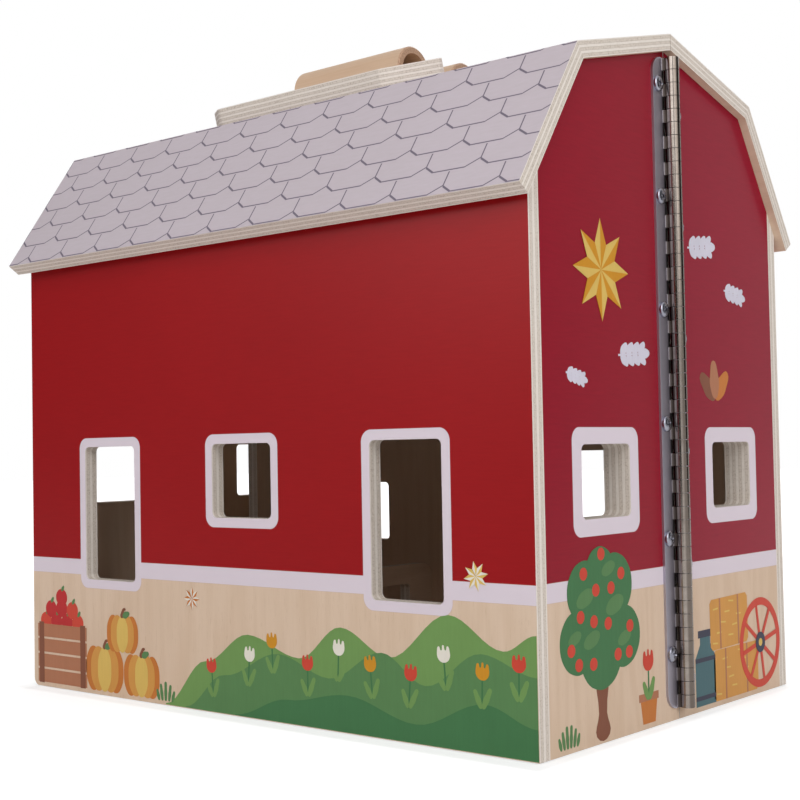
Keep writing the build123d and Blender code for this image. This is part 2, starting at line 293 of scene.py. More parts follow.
@dataclass(frozen=True)
class Birch:
    """Birch plywood: the veneer of its faces and the plies of its edges."""

    pale: Colour = tone(221, 198, 177)
    warm: Colour = tone(206, 179, 154)
    pore: Colour = tone(186, 155, 128)
    ply: Colour = tone(231, 223, 215)
    cross_ply: Colour = tone(213, 202, 191)
    glue: Colour = tone(180, 165, 151)
    pit: Colour = tone(146, 126, 108)
    glue_line: float = 0.10
    waviness: float = 0.35
    ring_waves: float = 34.0
    pore_over: float = 0.66
    pore_share: float = 0.35
    pore_depth: float = 0.4

    def veneer(self, shader: Shader, grain: Grain) -> tuple[Value, Value]:
        """The figure of a face.

        Args:
            shader: the material being made.
            grain: the way its fibres run.

        Returns:
            The colour, and a height for its bump.
        """
        fibres = shader.noise(grain.stretch(1500, 26), 4.0)
        figure = shader.noise(grain.stretch(42, 5), 2.0, 7.3)
        rings = (figure * self.ring_waves).maths("SINE") * 0.5 + 0.5
        pores = shader.noise(grain.stretch(2600, 120), 2.0, 3.1) > self.pore_over
        tint = (rings * 0.3 + fibres * 0.5 + figure * 0.35).held()
        colour = shader.mix(tint, self.pale, self.warm)
        colour = shader.mix(pores * self.pore_share, colour, self.pore)
        return colour, fibres - pores * self.pore_depth

    def stops(self, thickness: float, plies: int) -> list[tuple[float, Colour]]:
        """The stops of an edge: each ply's two ends and the glue behind it.

        Args:
            thickness: of the board, in millimetres.
            plies: an odd number of layers, the outermost two half as thick.

        Returns:
            Positions through the board and colours, the first and the last stop at the end.
        """
        line = self.glue_line / thickness
        bounds = [0.0, *((i + 0.5) / (plies - 1) for i in range(plies - 1)), 1.0]
        made = []
        for i in range(plies):
            colour = self.cross_ply if i % 2 else self.ply
            made += [(bounds[i] + (2 * line if i else 0.0), colour),
                     (bounds[i + 1] - line, colour), (bounds[i + 1] + line / 2, self.glue)]
        made.pop()
        return made[1:-1] + [made[0], made[-1]]

    def edge(self, shader: Shader, depth: Value, thickness: float, plies: int) -> Value:
        """The plies of a cut edge.

        Args:
            shader: the material being made.
            depth: millimetres in from the outer face.
            thickness: of the board, in millimetres.
            plies: an odd number of layers.

        Returns:
            The colour.
        """
        wobble = shader.noise(90, 2.0, 1.7) - 0.5
        share = (depth + wobble * self.waviness) / thickness
        layers = shader.node("ShaderNodeValToRGB", {"stops": self.stops(thickness, plies)},
                             {"Fac": share})
        crosswise = (share * (plies - 1.0) + 0.5).maths("FLOOR") % 2.0
        speckle = shader.noise(1500, 4.0, 5.9)
        streaks = shader.noise(260, 3.0, 2.3)
        worn = shader.mix((streaks * 1.6 - 0.5).held() * 0.5, layers, self.cross_ply)
        pits = ((speckle - 0.5) * 5.0).held() * (crosswise * 0.45 + 0.15)
        return shader.mix(pits, worn, self.pit)


BIRCH = Birch()


# ---- Prints that a material carries ----


class Paint:
    """The paints that walls and doors share."""

    RED = tone(155, 20, 24)
    DEEP_RED = tone(141, 16, 21)
    WHITE = tone(216, 204, 213)


@dataclass(frozen=True)
class Frame:
    """A white frame printed round an opening, in millimetres on its wall."""

    across: float
    up: float
    width: float
    height: float
    border: float = 5.0
    corner: float = 6.0

    def distance(self, u: Value, v: Value) -> Value:
        """Signed distance from the frame's outer outline.

        Args:
            u, v: the place across and up the wall.

        Returns:
            Millimetres, negative inside.
        """
        half_width = self.width / 2 + self.border - self.corner
        half_height = self.height / 2 + self.border - self.corner
        du = abs(u - self.across) - half_width
        dv = abs(v - self.up) - half_height
        outside = hypotenuse(du.larger(0.0), dv.larger(0.0))
        return outside + du.larger(dv).smaller(0.0) - self.corner


@dataclass(frozen=True)
class WallPrint:
    """Barn red over a white band, bare wood below it, white frames round the openings."""

    frames: tuple[Frame, ...]
    red: Colour = Paint.RED
    deep_red: Colour = Paint.DEEP_RED
    band_low: float = 66.7
    band_high: float = 75.4
    gloss: float = 0.36

    def paint(self, shader: Shader, u: Value, v: Value) -> tuple[Value, Value]:
        """The print's colour and where it lies.

        Args:
            shader: the material being made.
            u, v: the place across and up the wall, in millimetres.

        Returns:
            The colour, and 1 where there is print.
        """
        middle = (self.band_low + self.band_high) / 2
        white = stroke(v - middle, self.band_high - self.band_low)
        for outline in self.frames:
            white = white.larger(inside(outline.distance(u, v)))
        cover = white.larger(inside(v * -1 + self.band_high))
        cloud = shader.noise(9, 2.0, 4.4)
        mottle = shader.noise((80, 80, 1100), 3.0, 8.8)
        red = shader.mix((cloud * 0.7 + mottle * 1.1 - 0.4).held(), self.red, self.deep_red)
        return shader.mix(white, red, Paint.WHITE), cover


@dataclass(frozen=True)
class ShinglePrint:
    """Staggered shingles with cut lower corners, drawn in fine lines."""

    ground: Colour = tone(197, 186, 194)
    shade: Colour = tone(187, 176, 181)
    line: Colour = tone(112, 103, 117)
    pitch: float = 31.0
    row: float = 13.9
    first_row: float = 0.9
    first_joint: float = -122.2
    right_cut: Point = (5.4, 3.9)
    left_cut: Point = (7.5, 4.4)
    thin: float = 0.75
    thick: float = 1.05
    gloss: float = 0.5

    def paint(self, shader: Shader, u: Value, v: Value) -> tuple[Value, Value]:
        """The print's colour and where it lies.

        Args:
            shader: the material being made.
            u: along the ridge, in millimetres.
            v: down the slope from the knee, in millimetres.

        Returns:
            The colour, and 1 where there is print.
        """
        rows = (v - (self.first_row + self.thick)) / self.row
        index = rows.maths("FLOOR")
        above = (1.0 - (rows - index)) * self.row - self.thick
        joint = (index % 2.0) * (self.pitch / 2) + self.first_joint
        side = (u - joint + self.pitch / 2) % self.pitch - self.pitch / 2
        beyond = (side > self.right_cut[0]).larger(side < -self.left_cut[0])
        lines = stroke(above, self.thin) * beyond
        lines = lines.larger(stroke(side, self.thin) * (above > self.right_cut[1]))
        for near, sign, (run, rise), width in ((side > 0.0, 1, self.right_cut, self.thick),
                                               (side < 0.0, -1, self.left_cut, self.thin)):
            slant = (side * (sign * rise) + above * run - rise * run) / math.hypot(rise, run)
            lines = lines.larger(stroke(slant, width) * near * (1.0 - beyond))
        tint = shader.noise((130, 700, 700), 3.0, 2.2)
        cloud = shader.noise(14, 1.0, 6.0)
        ground = shader.mix((tint * 0.8 + cloud * 0.5 - 0.2).held(), self.ground, self.shade)
        return shader.mix(lines, ground, self.line), lines * 0.0 + 1.0


@dataclass(frozen=True)
class DoorPrint:
    """A red leaf with a white border and a white brace from corner to corner."""

    middle: Point
    half_width: float
    half_height: float
    border: float = 4.6
    brace: float = 5.2
    gloss: float = 0.36

    def paint(self, shader: Shader, u: Value, v: Value) -> tuple[Value, Value]:
        """The print's colour and where it lies.

        Args:
            shader: the material being made.
            u, v: the place across and up the wall, in millimetres.

        Returns:
            The colour, and 1 where there is print.
        """
        du, dv = abs(u - self.middle[0]), abs(v - self.middle[1])
        white = inside((du - (self.half_width - self.border)) * -1)
        white = white.larger(inside((dv - (self.half_height - self.border)) * -1))
        slant = ((du * self.half_height - dv * self.half_width)
                 / math.hypot(self.half_width, self.half_height))
        white = white.larger(stroke(slant, self.brace))
        mottle = shader.noise((520, 520, 70), 3.0, 8.8)
        red = shader.mix(mottle, Paint.RED, Paint.DEEP_RED)
        return shader.mix(white, red, Paint.WHITE), white * 0.0 + 1.0


@dataclass(frozen=True)
class Board:
    """A plywood board: a CAD node, the face that may be printed, and its grain."""

    node: str
    facing: Axis
    grain: Grain
    thickness: float = 8.0
    plies: int = 5
    across: Axis = (1, 0, 0)
    up: Axis = (0, 0, 1)
    up_from: float = 0.0
    cover: WallPrint | ShinglePrint | DoorPrint | None = None
    flatness: float = 0.8
    filled: float = 0.75
    shine: float = 0.07

    def face(self) -> float:
        """How far the facing side lies from the origin, in millimetres."""
        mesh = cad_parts[self.node].data
        return max(Vector(self.facing).dot(v.co) for v in mesh.vertices) / MM

    def dress(self) -> None:
        """Makes the board's finish and gives it to the CAD node."""
        shader = Shader("finish_" + self.node)
        depth = self.face() - shader.along(self.facing)
        turn = shader.toward(self.facing, shader.normal)
        front = turn > self.flatness
        flat = front.larger(turn < -self.flatness)
        veneer, height = BIRCH.veneer(shader, self.grain)
        edge = BIRCH.edge(shader, depth, self.thickness, self.plies)
        colour = shader.mix(flat, edge, veneer)
        roughness: Number = 0.6 + shader.noise(300, 2.0, 9.1) * 0.12
        if self.cover is not None:
            u = shader.along(self.across)
            v = shader.along(self.up) - self.up_from
            paint, cover = self.cover.paint(shader, u, v)
            cover = cover * front
            colour = shader.mix(cover, colour, paint)
            roughness = roughness * (1.0 - cover) + cover * self.cover.gloss
            height = height * (1.0 - cover * self.filled)
        dress_node(self.node, shader.finish(colour, roughness, height, lift=0.03,
                                            Specular_IOR_Level=self.shine))


def dress_node(node: str, material: bpy.types.Material) -> None:
    """Gives a CAD node one material in place of its own.

    Args:
        node: the CAD node's name.
        material: the new material.
    """
    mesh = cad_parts[node].data
    mesh.materials.clear()
    mesh.materials.append(material)
    log.info("%s: %s", node, material.name)


# ---- Boards of the shell ----


@dataclass(frozen=True)
class Shell:
    """The boards of both halves: walls, gables, floors, roof, stalls and handle base.

    The knee is where the two slopes of a roof meet, across and above the seam's foot.
    """

    steep: float = math.radians(55.64)
    shallow: float = math.radians(14.19)
    knee: Point = (85.4, 317.5)
    gable: float = 14.5
    gable_plies: int = 9
    gable_gloss: float = 0.27
    gable_border: float = 7.7
    roof_plies: int = 7
    handle: float = 10.0
    handle_plies: int = 9
    near_openings: tuple[Frame, ...] = (Frame(-108.0, 101.8, 43.4, 75.0),
                                        Frame(108.0, 101.8, 43.4, 75.0),
                                        Frame(-1.5, 120.15, 43.4, 38.3))
    far_openings: tuple[Frame, ...] = (Frame(-114.5, 92.95, 24.0, 39.1),
                                       Frame(61.0, 70.0, 86.0, 124.0))
    hinge_window: Frame = Frame(62.1, 118.5, 41.9, 34.0)
    latch_window: Frame = Frame(58.8, 122.9, 56.5, 34.4)

    def boards(self) -> list[Board]:
        """Every board with its finish.

        Returns:
            The boards that run through both halves, then those of each.
        """
        made = [
            Board("near_long_wall", (0, -1, 0), Grain.Z, cover=WallPrint(self.near_openings)),
            Board("far_long_wall", (0, 1, 0), Grain.Z, cover=WallPrint(self.far_openings)),
            Board("stall_divider", (1, 0, 0), Grain.Z),
            Board("stall_rail", (1, 0, 0), Grain.Y),
            Board("hay_loft", (0, 0, 1), Grain.X),
        ]
        for name, side in (("near", -1), ("far", 1)):
            # the hinge gable's far half takes a pinker red than the near half: a painted sheen
            made.append(self.end(f"{name}_hinge_gable", 1, side, self.hinge_window,
                                 (146, 17 + side, 40 + 3 * side)))
            made.append(self.end(f"{name}_latch_gable", -1, side, self.latch_window,
                                 (146, 17, 36)))
            made.append(Board(f"{name}_floor", (0, 0, 1), Grain.X))
            made += self.slopes(name, side)
        return made

    def end(self, node: str, facing: int, side: int, window: Frame,
            red: tuple[float, float, float]) -> Board:
        """One half of a gable.

        Args:
            node: the CAD node's name.
            facing: 1 on the hinge's end, -1 on the latch's.
            side: -1 near, 1 far.
            window: its window's frame on the far half.
            red: its paint on the display scale.

        Returns:
            The board.
        """
        window = replace(window, across=side * window.across, border=self.gable_border)
        deep_red = tone(*(channel * 0.91 for channel in red))
        cover = WallPrint((window,), red=tone(*red), deep_red=deep_red, gloss=self.gable_gloss)
        return Board(node, (facing, 0, 0), Grain.Z, self.gable, self.gable_plies,
                     across=(0, 1, 0), cover=cover)

    def slopes(self, name: str, side: int) -> list[Board]:
        """The roof boards and the handle base of one half.

        Args:
            name: of the half.
            side: -1 near, 1 far.

        Returns:
            Three boards.
        """
        made = []
        for node, pitch, sizes, cover in (
                ("lower_roof", self.steep, (Board.thickness, self.roof_plies), ShinglePrint()),
                ("upper_roof", self.shallow, (Board.thickness, self.roof_plies), ShinglePrint()),
                ("handle_base", self.shallow, (self.handle, self.handle_plies), None)):
            sin, cos = math.sin(pitch), math.cos(pitch)
            made.append(Board(f"{name}_{node}", (0.0, side * sin, cos), Grain.X, *sizes,
                              up=(0.0, side * cos, -sin),
                              up_from=self.knee[0] * cos - self.knee[1] * sin, cover=cover))
        return made

    def dress(self) -> None:
        """Gives every board its finish."""
        for board in self.boards():
            board.dress()


@dataclass(frozen=True)
class StableDoors:
    """The two half-height leaves with their turned knobs."""

    hands: tuple[str, ...] = ("left", "right")
    sawn: Colour = tone(205, 172, 132)
    sawn_ring: Colour = tone(168, 128, 90)

    def dress(self) -> None:
        """Gives the leaves and knobs their finishes."""
        for name in self.hands:
            low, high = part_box(f"{name}_door_leaf")
            middle, half = (low + high) / 2 / MM, (high - low) / 2 / MM
            cover = DoorPrint((middle.x, middle.z), half.x, half.z)
            Board(f"{name}_door_leaf", (0, 1, 0), Grain.Z, cover=cover).dress()
            dress_node(f"{name}_door_knob", self.turned_birch(f"{name}_door_knob"))

    def turned_birch(self, node: str) -> bpy.types.Material:
        """Oiled turned birch with end grain on its face.

        Args:
            node: the knob's CAD node.

        Returns:
            The material.
        """
        shader = Shader("finish_" + node)
        veneer, height = BIRCH.veneer(shader, Grain.Y)
        face = shader.toward((0, 1, 0), shader.normal) > Board.flatness
        rings = shader.noise((900, 40, 300), 3.0, 1.1)
        end_grain = shader.mix(rings, self.sawn, self.sawn_ring)
        return shader.finish(shader.mix(face, veneer, end_grain), 0.42 + rings * 0.1, height)


# ---- Bent-wood grips ----


@dataclass(frozen=True)
class Bentwood:
    """A grip bent from thin plies, oiled on its outside, spongy where it is cut."""

    skin: Colour = tone(208, 178, 150)
    streak: Colour = tone(186, 152, 122)
    cut: Colour = tone(186, 152, 126)
    pit: Colour = tone(128, 92, 66)
    end_turn: float = 0.6
    pit_depth: float = 0.6

    def dress(self, node: str) -> None:
        """Makes the finish and gives it to a grip.

        Args:
            node: the grip's CAD node.
        """
        shader = Shader("finish_" + node)
        fibres = shader.noise((34, 1300, 1300), 4.0, 2.0)
        cloud = shader.noise((18, 60, 60), 2.0, 5.0)
        skin = shader.mix((fibres * 0.7 + cloud * 0.5 - 0.1).held(), self.skin, self.streak)
        ends = abs(shader.toward((1, 0, 0), shader.normal)) > self.end_turn
        pits = shader.noise(1600, 4.0, 8.0)
        cut = shader.mix(((pits - 0.42) * 3.0).held(), self.cut, self.pit)
        dress_node(node, shader.finish(shader.mix(ends, skin, cut), 0.5 + fibres * 0.1,
                                       fibres + ends * pits * self.pit_depth, lift=0.04))


# ---- Metal ----


@dataclass(frozen=True)
class Steel:
    """A metal finish with a faint brush and scattered wear."""

    name: str
    base: Colour
    worn: Colour
    roughness: float
    brush: Grain = Grain.Z

    def material(self, barrel: "Barrel | None" = None) -> bpy.types.Material:
        """Makes the metal.

        Args:
            barrel: where a node also holds bright knuckles, where they are.

        Returns:
            The material.
        """
        shader = Shader("finish_" + self.name)
        brushed = shader.noise(self.brush.stretch(2400, 40), 3.0, 3.0)
        cloud = shader.noise(160, 3.0, 6.0)
        colour = shader.mix((brushed * 0.5 + cloud * 0.7 - 0.3).held(), self.base, self.worn)
        roughness = brushed * 0.12 + cloud * 0.08 + self.roughness
        if barrel is not None:
            bright = barrel.inside(shader)
            polished = shader.mix(cloud, barrel.base, barrel.worn)
            # painted shade on the outermost side of the knuckles
            polished = shader.mix(barrel.crown(shader), polished, barrel.painted_outer_shade)
            # painted shade on the leaf where it bends into the barrel
            colour = shader.mix(barrel.bend(shader), colour, barrel.painted_crevice_shade)
            colour = shader.mix(bright, colour, polished)
            roughness = roughness * (1.0 - bright) + bright * (cloud * 0.1 + barrel.roughness)
        return shader.finish(colour, roughness, brushed, lift=0.008, Metallic=1.0)


@dataclass(frozen=True)
class Barrel:
    """The rolled knuckles of a hinge, brighter than its leaves."""

    across: Axis
    outward: Axis
    centre: Point
    radius: float
    base: Colour = tone(162, 153, 146)
    worn: Colour = tone(116, 106, 99)
    # painted shade: a darker leaf in the crevice beside the barrel
    painted_crevice_shade: Colour = tone(84, 76, 74)
    # painted shade: a darker tone on the knuckles' outermost side
    painted_outer_shade: Colour = tone(92, 83, 76)
    roughness: float = 0.12
    painted_shade_reach: float = 2.2
    crown_from: float = 0.58
    crown_sharpness: float = 6.0
    crown_share: float = 0.8

    def reach(self, shader: Shader) -> Value:
        """Millimetres from the barrel's axis."""
        return hypotenuse(shader.along(self.across) - self.centre[0],
                          shader.along(self.outward) - self.centre[1])

    def inside(self, shader: Shader) -> Value:
        """1 within the barrel's radius of its axis."""
        return self.reach(shader) < self.radius

    def bend(self, shader: Shader) -> Value:
        """How near a place is to the barrel, where dirt and shadow gather."""
        return (self.painted_shade_reach - (self.reach(shader) - self.radius)).held()

    def crown(self, shader: Shader) -> Value:
        """How dulled by handling a place is, most on the outermost side of the knuckles."""
        outward = (shader.along(self.outward) - self.centre[1]) / self.radius
        return ((outward - self.crown_from) * self.crown_sharpness).held() * self.crown_share


@dataclass(frozen=True)
class Hardware:
    """The piano hinge, the door hinges and the swing hook."""

    leaf: Colour = tone(188, 184, 196)
    leaf_worn: Colour = tone(166, 162, 174)
    leaf_roughness: float = 0.34
    pin: Steel = Steel("pin", tone(160, 156, 153), tone(118, 113, 110), 0.2)
    hook: Steel = Steel("latch_hook", tone(166, 163, 160), tone(122, 118, 116), 0.24)
    piano: Barrel = Barrel((0, 1, 0), (1, 0, 0), (0.0, 184.8), 3.68)
    left_door: Barrel = Barrel((1, 0, 0), (0, 1, 0), (18.3, 123.4), 2.15)
    right_door: Barrel = Barrel((1, 0, 0), (0, 1, 0), (103.7, 123.4), 2.15)

    def dress(self) -> None:
        """Gives the metal nodes their finishes."""
        for node, barrel in (("near_hinge_leaf", self.piano), ("far_hinge_leaf", self.piano),
                             ("left_door_strap", self.left_door),
                             ("right_door_strap", self.right_door),
                             ("door_hinge_plates", None)):
            sheet = Steel(node, self.leaf, self.leaf_worn, self.leaf_roughness)
            dress_node(node, sheet.material(barrel))
        for node in ("hinge_pin", "door_hinge_pins", "latch_pivot", "latch_stud"):
            dress_node(node, replace(self.pin, name=node).material())
        dress_node("latch_hook", self.hook.material())


# ---- Screws ----


def only(*objects: bpy.types.Object) -> None:
    """Selects these objects alone.

    Args:
        objects: the objects, the first of which becomes the active one.
    """
    bpy.ops.object.select_all(action="DESELECT")
    for item in objects:
        item.select_set(True)
    bpy.context.view_layer.objects.active = objects[0]


def pick_faces(piece: bpy.types.Object, facing: Vector, least: float = 0.9) -> None:
    """Selects, in edit mode, the faces whose normal points one way.

    Args:
        piece: the object in edit mode.
        facing: the direction.
        least: how nearly they must point that way.
    """
    bpy.ops.mesh.select_all(action="DESELECT")
    bpy.ops.object.mode_set(mode="OBJECT")
    for face in piece.data.polygons:
        face.select = face.normal.dot(facing) > least
    bpy.ops.object.mode_set(mode="EDIT")


@dataclass(frozen=True)
class PanScrew:
    """A pan-head screw with a cross recess; only its head shows.

    Each ring of the dome is an inset, as a share of the radius, and its rise, as a share
    of the height.
    """

    radius: float = 3.9 * MM
    height: float = 2.0 * MM
    slot: float = 1.0 * MM
    segments: int = 28
    rim: float = 0.62
    dome: tuple[Point, ...] = ((0.10, 0.16), (0.14, 0.12), (0.24, 0.08), (0.2, 0.02))
    slot_reach: float = 1.16
    slot_taper: float = 0.6
    smoothed_under: float = math.radians(38)

    def model(self) -> bpy.types.Object:
        """Models one head at the origin, standing along +Z.

        Returns:
            The head.
        """
        rim = self.height * self.rim
        bpy.ops.object.select_all(action="DESELECT")
        bpy.ops.mesh.primitive_cylinder_add(vertices=self.segments, radius=self.radius,
                                            depth=rim, location=(0, 0, rim / 2))
        head = bpy.context.active_object
        bpy.ops.object.transform_apply(location=True)
        bpy.ops.object.mode_set(mode="EDIT")
        pick_faces(head, Vector((0, 0, 1)))
        for inset, rise in self.dome:
            bpy.ops.mesh.inset(thickness=self.radius * inset, depth=self.height * rise)
        bpy.ops.object.mode_set(mode="OBJECT")
        for turned in (0.0, math.pi / 2):
            self.cut(head, turned)
        only(head)
        bpy.ops.object.shade_smooth_by_angle(angle=self.smoothed_under)
        return head

    def cut(self, head: bpy.types.Object, turned: float) -> None:
        """Cuts one bar of the cross into a head.

        Args:
            head: the head.
            turned: the bar's angle about the head's axis.
        """
        only(head)
        bpy.ops.mesh.primitive_cube_add(size=1, location=(0, 0, self.height))
        cutter = bpy.context.active_object
        cutter.scale = (self.radius * self.slot_reach, self.slot, self.slot * 2)
        cutter.rotation_euler = (0, 0, turned)
        bpy.ops.object.transform_apply(location=True, rotation=True, scale=True)
        bpy.ops.object.mode_set(mode="EDIT")
        pick_faces(cutter, Vector((0, 0, -1)))
        bpy.ops.transform.resize(value=(self.slot_taper, self.slot_taper, 1))
        bpy.ops.object.mode_set(mode="OBJECT")
        only(head)
        slot = head.modifiers.new("slot", "BOOLEAN")
        slot.operation, slot.solver, slot.object = "DIFFERENCE", "EXACT", cutter
        bpy.ops.object.modifier_apply(modifier=slot.name)
        bpy.data.objects.remove(cutter)


def copies(master: bpy.types.Object, name: str, places: list[Matrix]) -> bpy.types.Object:
    """Sets copies of a modelled piece, each with its own mesh, and joins them.

    Args:
        master: the piece at the origin.
        name: of the result.
        places: where each copy goes.

    Returns:
        The joined piece.
    """
    made = []
    for place in places:
        twin = master.copy()
        twin.data = master.data.copy()
        bpy.context.scene.collection.objects.link(twin)
        twin.data.transform(place)
        made.append(twin)
    only(*made)
    bpy.ops.object.join()
    made[0].name = made[0].data.name = name
    return made[0]


@dataclass(frozen=True)
class HingeScrews:
    """The screws of the piano hinge and of the door hinges, in millimetres.

    Each row names what it rides on, then says where it goes.
    """

    large: PanScrew = PanScrew()
    small: PanScrew = PanScrew(1.9 * MM, 1.1 * MM, 0.55 * MM, 20)
    hinge_face: float = 181.2
    hinge_reach: float = 8.6
    hinge_pitch: float = 56.1
    hinge_count: int = 6
    hinge_rows: tuple[tuple[str, int, float], ...] = (("near", -1, 32.6), ("far", 1, 19.2))
    door_face: float = 122.0
    door_heights: tuple[float, ...] = (30.5, 46.1, 61.7)
    door_rows: tuple[tuple[str, str, tuple[float, ...]], ...] = (
        ("door_plate_screws", "far", (10.6, 111.4)),
        ("left_strap_screws", "left_door", (26.0,)),
        ("right_strap_screws", "right_door", (96.0,)))

    def build(self) -> None:
        """Models both sizes of screw and sets them, each with its cross turned its own way."""
        zinc = Steel("screw_zinc", tone(158, 158, 168), tone(104, 104, 116), 0.16,
                     Grain.Y).material()
        head = self.large.model()
        head.data.materials.append(zinc)
        along_x = Matrix.Rotation(math.pi / 2, 4, "Y")
        for body, side, first in self.hinge_rows:
            self.place(head, f"{body}_hinge_screws", body, [
                self.spot((self.hinge_face, side * self.hinge_reach,
                           first + i * self.hinge_pitch), along_x, 0.7 + 1.9 * i + side)
                for i in range(self.hinge_count)])
        bpy.data.objects.remove(head)
        head = self.small.model()
        head.data.materials.append(zinc)
        along_y = Matrix.Rotation(-math.pi / 2, 4, "X")
        for name, body, stations in self.door_rows:
            self.place(head, name, body, [
                self.spot((station, self.door_face, up), along_y, 0.4 + 1.3 * i + station)
                for station in stations for i, up in enumerate(self.door_heights)])
        bpy.data.objects.remove(head)

    @staticmethod
    def spot(at: Axis, stand: Matrix, turn: float) -> Matrix:
        """Where one screw goes.

        Args:
            at: its place in millimetres.
            stand: what turns +Z to the way it faces.
            turn: its own turn about its axis.

        Returns:
            The matrix, in metres.
        """
        return Matrix.Translation(Vector(at) * MM) @ stand @ Matrix.Rotation(turn, 4, "Z")

    @staticmethod
    def place(master: bpy.types.Object, name: str, body: str, spots: list[Matrix]) -> None:
        """Sets one group of screws and lets it ride.

        Args:
            master: the modelled head.
            name: of the group.
            body: what they ride on.
            spots: where each goes.
        """
        group = copies(master, name, spots)
        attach(group, body)
        log.info("%s: %d heads on %s", name, len(spots), body)


# ---- Printed motifs ----


class Wall(Enum):
    """A printed wall: its horizontal as seen from outside, its facing, and how far out it is."""

    NEAR = ((1, 0, 0), (0, -1, 0), 121.0)
    FAR = ((-1, 0, 0), (0, 1, 0), 121.0)
    HINGE = ((0, 1, 0), (1, 0, 0), 180.0)
    LATCH = ((0, -1, 0), (-1, 0, 0), 180.0)

    def matrix(self) -> Matrix:
        """The way from a drawing to the wall.

        Returns:
            The matrix, from millimetres to metres.
        """
        across, facing, face = self.value
        axes = Matrix((across, (0, 0, 1), facing)).transposed().to_4x4()
        return Matrix.Translation(Vector(facing) * face * MM) @ axes @ Matrix.Scale(MM, 4)


@dataclass(frozen=True)
class Patch:
    """One flat patch of ink: its outline and colour, and a hole if it has one."""

    outline: Outline
    ink: Colour
    smooth: bool = True
    hole: Outline = ()

    def moved(self, u: float, v: float, scale: float = 1.0, turn: float = 0.0) -> "Patch":
        """The patch turned in degrees, scaled and then moved.

        Args:
            u, v: the move in millimetres.
            scale: its growth.
            turn: anticlockwise.

        Returns:
            The moved patch.
        """
        cos, sin = math.cos(math.radians(turn)) * scale, math.sin(math.radians(turn)) * scale

        def shift(points: Outline) -> Outline:
            """The points after the same move."""
            return tuple((u + x * cos - y * sin, v + x * sin + y * cos) for x, y in points)

        return replace(self, outline=shift(self.outline), hole=shift(self.hole))

    def meets(self, other: "Patch", margin: float = 0.5) -> bool:
        """Whether the boxes round two patches meet.

        Args:
            other: the other patch.
            margin: for their curves, in millimetres.

        Returns:
            True where they do.
        """
        for axis in (0, 1):
            mine = [point[axis] for point in self.outline]
            theirs = [point[axis] for point in other.outline]
            if min(mine) > max(theirs) + margin or max(mine) < min(theirs) - margin:
                return False
        return True


Drawing = list[Patch]


def moved(drawing: Drawing, u: float, v: float, scale: float = 1.0,
          turn: float = 0.0) -> Drawing:
    """A whole drawing turned, scaled and then moved."""
    return [patch.moved(u, v, scale, turn) for patch in drawing]


def layers(drawing: Drawing) -> list[int]:
    """The layer of each patch.

    Args:
        drawing: the patches, the lowest first.

    Returns:
        For each, one more than the highest earlier patch that it may cover.
    """
    made: list[int] = []
    for i, patch in enumerate(drawing):
        below = [made[j] for j in range(i) if patch.meets(drawing[j])]
        made.append(max(below, default=-1) + 1)
    return made


def ring(width: float, height: float, points: int = 8) -> Outline:
    """An ellipse's outline about the origin."""
    steps = [2 * math.pi * i / points for i in range(points)]
    return tuple((width / 2 * math.cos(a), height / 2 * math.sin(a)) for a in steps)


def blot(width: float, height: float, ink: Colour, u: float = 0.0, v: float = 0.0,
         turn: float = 0.0) -> Patch:
    """An ellipse of ink about a place, turned in degrees."""
    return Patch(ring(width, height), ink).moved(u, v, turn=turn)


def leaf(length: float, width: float, ink: Colour, u: float = 0.0, v: float = 0.0,
         turn: float = 0.0) -> Patch:
    """A pointed leaf.

    Args:
        length, width: its size.
        ink: its colour.
        u, v: its foot.
        turn: anticlockwise, in degrees.

    Returns:
        The leaf.
    """
    outline = ((0, 0), (width * 0.42, length * 0.3), (width * 0.4, length * 0.62), (0, length),
               (-width * 0.4, length * 0.62), (-width * 0.42, length * 0.3))
    return Patch(outline, ink).moved(u, v, turn=turn)


def bar(width: float, height: float, ink: Colour, u: float = 0.0, v: float = 0.0,
        turn: float = 0.0) -> Patch:
    """A rectangle that stands on a place, turned in degrees."""
    outline = ((-width / 2, 0), (width / 2, 0), (width / 2, height), (-width / 2, height))
    return Patch(outline, ink, smooth=False).moved(u, v, turn=turn)


class Ink:
    """The inks of the motifs."""

    LEAF = tone(88, 130, 80)
    DEEP_LEAF = tone(66, 116, 72)
    PALE_LEAF = tone(112, 150, 84)
    GOLD = tone(205, 142, 34)
    STRAW = tone(218, 184, 98)
    PUMPKIN = tone(209, 150, 74)
    RUST = tone(196, 118, 52)
    TIMBER = tone(176, 117, 86)
    BARK = tone(130, 78, 56)
    POPPY = tone(204, 70, 52)
    APPLE = tone(186, 42, 44)
    CREAM = tone(232, 226, 214)
    WHITE = tone(214, 210, 224)
    NAVY = tone(56, 57, 74)
    TEAL = tone(72, 106, 112)


def quilt_star(radius: float, dark: Colour = Ink.GOLD, light: Colour = Ink.STRAW) -> Drawing:
    """An eight-pointed barn star of paired diamonds in two inks.

    Args:
        radius: to its points.
        dark, light: the inks of each point's halves.

    Returns:
        The star about the origin.
    """
    drawing = []
    inner, rays = radius * 0.54, 8
    for i in range(rays):
        middle = 2 * math.pi * i / rays
        for sign, ink in ((1, dark), (-1, light)):
            side = middle + sign * math.pi / rays
            points = ((0, 0), (inner * math.sin(side), inner * math.cos(side)),
                      (radius * math.sin(middle), radius * math.cos(middle)))
            drawing.append(Patch(points[::sign], ink, smooth=False))
    return drawing


